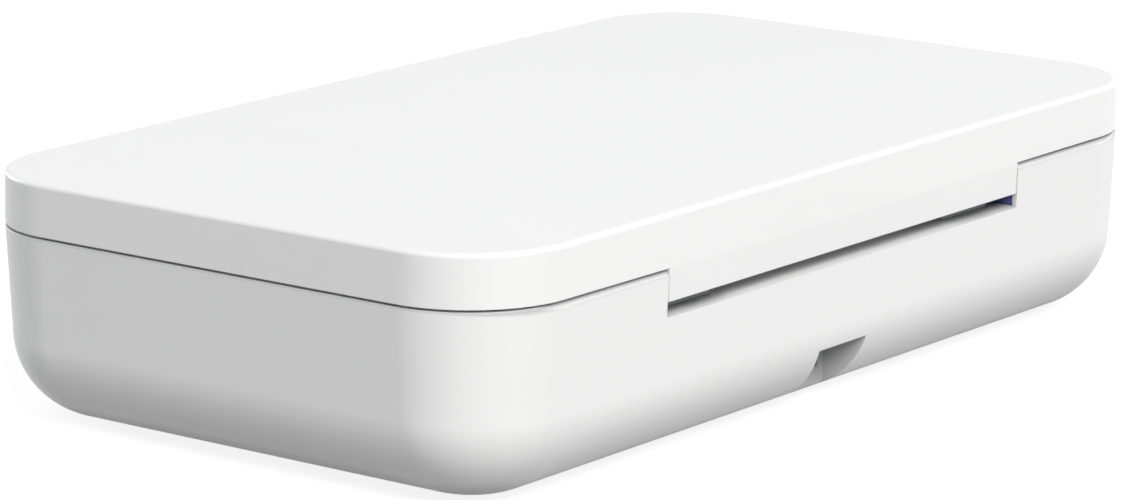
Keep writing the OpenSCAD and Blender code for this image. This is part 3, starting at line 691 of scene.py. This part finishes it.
def screw_maker():
    """A pan-head screw with a cross recess, its head's crown at the place and its shank along +Z."""
    maker = Maker("screw", "Head radius", "Head height", "Shank radius", "Length", "Recess")
    head_r = maker.size("Head radius")
    head_t = maker.size("Head height")
    shank_r = maker.size("Shank radius")
    end = head_t + maker.size("Length")
    recess = maker.size("Recess")
    body = maker.turned([(0.0, 0.0), (head_r * 0.55, 0.0), (head_r * 0.8, head_t * 0.1),
                         (head_r * 0.95, head_t * 0.34), (head_r, head_t * 0.62), (head_r, head_t),
                         (shank_r, head_t), (shank_r, end - shank_r * 0.6), (shank_r * 0.5, end),
                         (0.0, end)], SCREW_STEPS)
    arm = head_r * 1.15
    cross = maker.join(maker.block(arm, recess, head_t), maker.block(recess, arm, head_t))
    cut = maker.add("GeometryNodeMeshBoolean", {"operation": "DIFFERENCE", "solver": "EXACT"},
                    {"Mesh 1": body, "Mesh 2": cross, "Self Intersection": True})
    maker.close(maker.at_places(cut), "steel")
    return maker


def add_screws(maker, node, sizes, head_up):
    """One mesh for all the screws of a node, at the places and of the length that it gives. Those
    with the head up are made upside down and then turned over about X."""
    boxes = lumps(node)
    low, high = boxes[0]
    sizes = dict(sizes, Length=high[2] - low[2] - sizes["Head height"])
    side = -1 if head_up else 1
    crown = high[2] if head_up else low[2]
    places = [((low[0] + high[0]) / 2, side * (low[1] + high[1]) / 2, side * crown)
              for low, high in boxes]
    piece = made(maker, node + "_cross", places, sizes, SLOT_OF[node], BODY_OF[node], [node])
    if head_up:
        piece.data.transform(Matrix.Rotation(math.pi, 4, "X"))


# Seal and feet

SEAL_W = 1.8
SEAL_CORNER_R = 18
SEAL_EDGE_R = 0.6
FOOT_STEPS = 56


def add_seal():
    """A lip with round edges, drawn along the rounded outline of its groove."""
    low, high = [Vector(corner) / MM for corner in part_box("light_seal")]
    maker = Maker("seal_lip", "Path length", "Path width", "Corner radius", "Lip width",
                  "Lip height", "Lip edge")
    line = maker.add("GeometryNodeCurvePrimitiveQuadrilateral", {"mode": "RECTANGLE"},
                     {"Width": maker.size("Path length"), "Height": maker.size("Path width")})
    path = maker.add("GeometryNodeFilletCurve", {"mode": "POLY"},
                     {"Curve": line, "Count": 24, "Radius": maker.size("Corner radius")})
    section = maker.add("GeometryNodeCurvePrimitiveQuadrilateral", {"mode": "RECTANGLE"},
                        {"Width": maker.size("Lip width"), "Height": maker.size("Lip height")})
    lip = maker.add("GeometryNodeFilletCurve", {"mode": "POLY"},
                    {"Curve": section, "Count": 5, "Radius": maker.size("Lip edge")})
    ring = maker.add("GeometryNodeCurveToMesh", {}, {"Curve": path, "Profile Curve": lip})
    maker.close(maker.at_places(ring), "seal_silicone")
    size = high - low
    made(maker, "light_seal_lip", [(low + high) / 2],
         {"Path length": size.x - SEAL_W, "Path width": size.y - SEAL_W,
          "Corner radius": SEAL_CORNER_R, "Lip width": SEAL_W, "Lip height": size.z,
          "Lip edge": SEAL_EDGE_R},
         "seal_silicone", "base", ["light_seal"])


def add_feet():
    """Round rubber feet with a soft edge and a shallow dish in the sole."""
    boxes = lumps("rubber_feet")
    low, high = boxes[0]
    maker = Maker("foot", "Radius", "Height")
    radius = maker.size("Radius")
    height = maker.size("Height")
    sole = [(0.0, height * 0.12), (radius * 0.4, height * 0.12), (radius * 0.5, height * 0.02),
            (radius * 0.56, 0.0), (radius * 0.8, 0.0), (radius * 0.88, height * 0.02),
            (radius * 0.96, height * 0.1), (radius, height * 0.24), (radius, height), (0.0, height)]
    maker.close(maker.at_places(maker.turned(sole, FOOT_STEPS)), "foot_rubber")
    places = [((low[0] + high[0]) / 2, (low[1] + high[1]) / 2, low[2]) for low, high in boxes]
    made(maker, "rubber_feet_turned", places,
         {"Radius": (high[0] - low[0]) / 2, "Height": high[2] - low[2]},
         "foot_rubber", "base", ["rubber_feet"])


# Coils in the lamps

COIL = {"Coil radius": 0.8, "Coil length": 5.0, "Wire radius": 0.09}
COIL_TURNS = 9.0
COIL_FROM_END = 15
LEAD = 8.6
LEAD_THICKER = 1.6


def add_electrodes():
    """A coiled wire at each end of both tubes, on a straight lead from the end cap."""
    maker = Maker("electrode", "Coil radius", "Coil length", "Wire radius", "Lead")
    wire = maker.size("Wire radius")
    coil_length = maker.size("Coil length")
    spiral = maker.add("GeometryNodeCurveSpiral", {},
                       {"Resolution": 20, "Rotations": COIL_TURNS,
                        "Start Radius": maker.size("Coil radius"),
                        "End Radius": maker.size("Coil radius"), "Height": coil_length})
    coil = maker.moved(maker.wire_along(spiral, wire, 6), maker.point(coil_length * -0.5, 0, 0),
                       (0, math.pi / 2, 0))
    line = maker.add("GeometryNodeCurvePrimitiveLine", {},
                     {"Start": maker.point(0, 0, 0), "End": maker.point(maker.size("Lead"), 0, 0)})
    lead = maker.wire_along(line, wire * LEAD_THICKER, 8)
    maker.close(maker.at_places(maker.join(coil, lead)), "steel")
    for tube, body in (("lower_lamp", "base"), ("upper_lamp", "lid")):
        low, high = [Vector(corner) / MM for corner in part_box(tube)]
        middle = (low + high) / 2
        for side in (-1, 1):
            spot = (side * (high.x - COIL_FROM_END), middle.y, middle.z)
            made(maker, f"{tube}_electrode_{side + 2}", [spot], dict(COIL, Lead=side * LEAD),
                 "steel", body)


# Normals of the base's outer wall

ON_WALL = 0.06
SAME_WAY = math.cos(math.radians(14))


def wall_tilt(height):
    """How far the base's outer wall looks down at a height, from its lean to straight down."""
    return math.asin(min(1, max(math.sin(LEAN), (LOW_EDGE_Z - height) / LOW_EDGE_R)))


def wall_reach(height):
    """How far the base's outer wall stands from the axis of its corners at a height."""
    tilt = wall_tilt(height)
    if tilt <= LEAN:
        return CORNER_R - (RIM_Z - height) * math.tan(LEAN)
    end = CORNER_R - (RIM_Z - LOW_EDGE_Z + LOW_EDGE_R * math.sin(LEAN)) * math.tan(LEAN)
    return end + LOW_EDGE_R * (math.cos(tilt) - math.cos(LEAN))


def within(number, half):
    return max(-half, min(half, number))


def true_wall(piece):
    """Gives the base's outer wall the normals of its exact form, so that long faces shade evenly."""
    mesh = piece.data
    normals = [corner.vector.copy() for corner in mesh.corner_normals]
    for face in mesh.polygons:
        for corner, vertex in zip(face.loop_indices, face.vertices):
            spot = mesh.vertices[vertex].co / MM
            core = Vector((within(spot.x, CORE_HALF_L), within(spot.y, CORE_HALF_W), spot.z))
            tilt = wall_tilt(spot.z)
            exact = (spot - core).normalized() * math.cos(tilt) - Vector((0, 0, math.sin(tilt)))
            on_wall = abs((spot - core).length - wall_reach(spot.z)) < ON_WALL
            if on_wall and face.normal.dot(exact) > SAME_WAY:
                normals[corner] = exact
    mesh.normals_split_custom_set(normals)


# Every piece

EDGE = 0.12
EDGES = {"base_shell": 0.25, "lid_shell": 0.2, "base_tray": 0.3, "lid_liner": 0.25,
         "phone_rests": 0.3, "power_button": 0.1}
SCREWS = {"board_screws": (SMALL_SCREW, True), "bracket_screws": (SMALL_SCREW, True),
          "lid_screws": (SMALL_SCREW, False), "base_screws": (BASE_SCREW, False)}

screws = screw_maker()
for node, (sizes, head_up) in SCREWS.items():
    add_screws(screws, node, sizes, head_up)
add_seal()
add_feet()
add_electrodes()
for node in NODES:
    if node not in {"light_seal", "rubber_feet", *SCREWS}:
        piece = dressed(node, EDGES.get(node, EDGE))
        if node == "base_shell":
            true_wall(piece)


# Camera, floor and light

PHOTO_W = 1127
FOCAL_PX = 5010.5
SHIFT_PX = (-21.4, -13.1)
SENSOR = 36
AIM_Z = 25.4
LAMP_AIM_Z = 20
FLOOR_HALF = 4
FLOOR_Z = -0.02
FLOOR_GREY = (0.3, 0.3, 0.3, 1)
FLOOR_GLOW = 0.86
SKY_TINT = (0.955, 0.98, 1, 1)
SKY_LEVEL = 0.29


def aim(piece, yaw, pitch, distance, height, roll=0):
    """Turns a camera or a lamp to the point at that height above the middle of the box. It stands
    in a direction given in degrees, at a distance in metres."""
    yaw, pitch, roll = [math.radians(angle) for angle in (yaw, pitch, roll)]
    back = Vector((math.sin(yaw) * math.cos(pitch), -math.cos(yaw) * math.cos(pitch), math.sin(pitch)))
    turn = back.to_track_quat("Z", "Y").to_matrix() @ Matrix.Rotation(roll, 3, "Z")
    spot = Vector((0, 0, height * MM)) + back * distance
    piece.matrix_world = Matrix.Translation(spot) @ turn.to_4x4()


def add_camera():
    """The photograph's view: from the hinge side, a little above the box."""
    data = bpy.data.cameras.new("camera")
    data.sensor_width = SENSOR
    data.lens = FOCAL_PX * SENSOR / PHOTO_W
    data.shift_x, data.shift_y = [shift / PHOTO_W for shift in SHIFT_PX]
    data.clip_end = 20
    camera = new_piece("camera", data)
    aim(camera, yaw=127.41, pitch=12.92, distance=1.0246, height=AIM_Z, roll=0.14)
    bpy.context.scene.camera = camera


def add_lamp(name, yaw, pitch, distance, size, power, colour=(1, 1, 1)):
    """A round soft lamp: its size in metres and its power in watts."""
    data = bpy.data.lights.new(name, "AREA")
    data.shape = "DISK"
    data.size = size
    data.energy = power
    data.color = colour
    aim(new_piece(name, data), yaw, pitch, distance, LAMP_AIM_Z)


def seen(graph):
    """1 for rays from the camera, off gloss and through glass, and 0 for the light on surfaces."""
    path = graph.add("ShaderNodeLightPath")
    direct = path.of("Is Camera Ray").larger(path.of("Is Glossy Ray"))
    return direct.larger(path.of("Is Transmission Ray"))


def add_floor():
    """A pale floor just under the feet. It looks white and keeps the shadow of the box."""
    mesh = bpy.data.meshes.new("floor")
    mesh.from_pydata([(x * FLOOR_HALF, y * FLOOR_HALF, FLOOR_Z * MM)
                      for x, y in ((-1, -1), (1, -1), (1, 1), (-1, 1))], [], [(0, 1, 2, 3)])
    floor = new_piece("floor", mesh)
    material = bpy.data.materials.new("pale_floor")
    material.use_nodes = True
    graph = Graph(material.node_tree)
    lit = graph.add("ShaderNodeBsdfDiffuse", {}, {"Color": FLOOR_GREY})
    glow = graph.add("ShaderNodeEmission", {}, {"Color": WHITE, "Strength": FLOOR_GLOW})
    both = graph.add("ShaderNodeAddShader", {}, {0: lit, 1: glow})
    surface = graph.add("ShaderNodeMixShader", {}, {0: seen(graph), 1: lit, 2: both})
    graph.add("ShaderNodeOutputMaterial", {}, {"Surface": surface})
    mesh.materials.append(material)


def add_world():
    """A sky that looks white, and gives surfaces a weaker and slightly cool light from all sides."""
    world = bpy.data.worlds.new("studio")
    world.use_nodes = True
    graph = Graph(world.node_tree)
    shown = seen(graph)
    sky = graph.add("ShaderNodeBackground", {},
                    {"Color": graph.blend(shown, SKY_TINT, WHITE),
                     "Strength": SKY_LEVEL + (1 - SKY_LEVEL) * shown})
    graph.add("ShaderNodeOutputWorld", {}, {"Surface": sky})
    bpy.context.scene.world = world


bpy.context.scene.view_settings.view_transform = "Standard"
add_camera()
add_world()
add_floor()
add_lamp("key", yaw=152, pitch=40.5, distance=5, size=3, power=242, colour=(1, 0.992, 0.982))
add_lamp("front_fill", yaw=-4, pitch=7, distance=3, size=0.8, power=34)
add_lamp("left_fill", yaw=-100, pitch=7, distance=3, size=0.8, power=25)
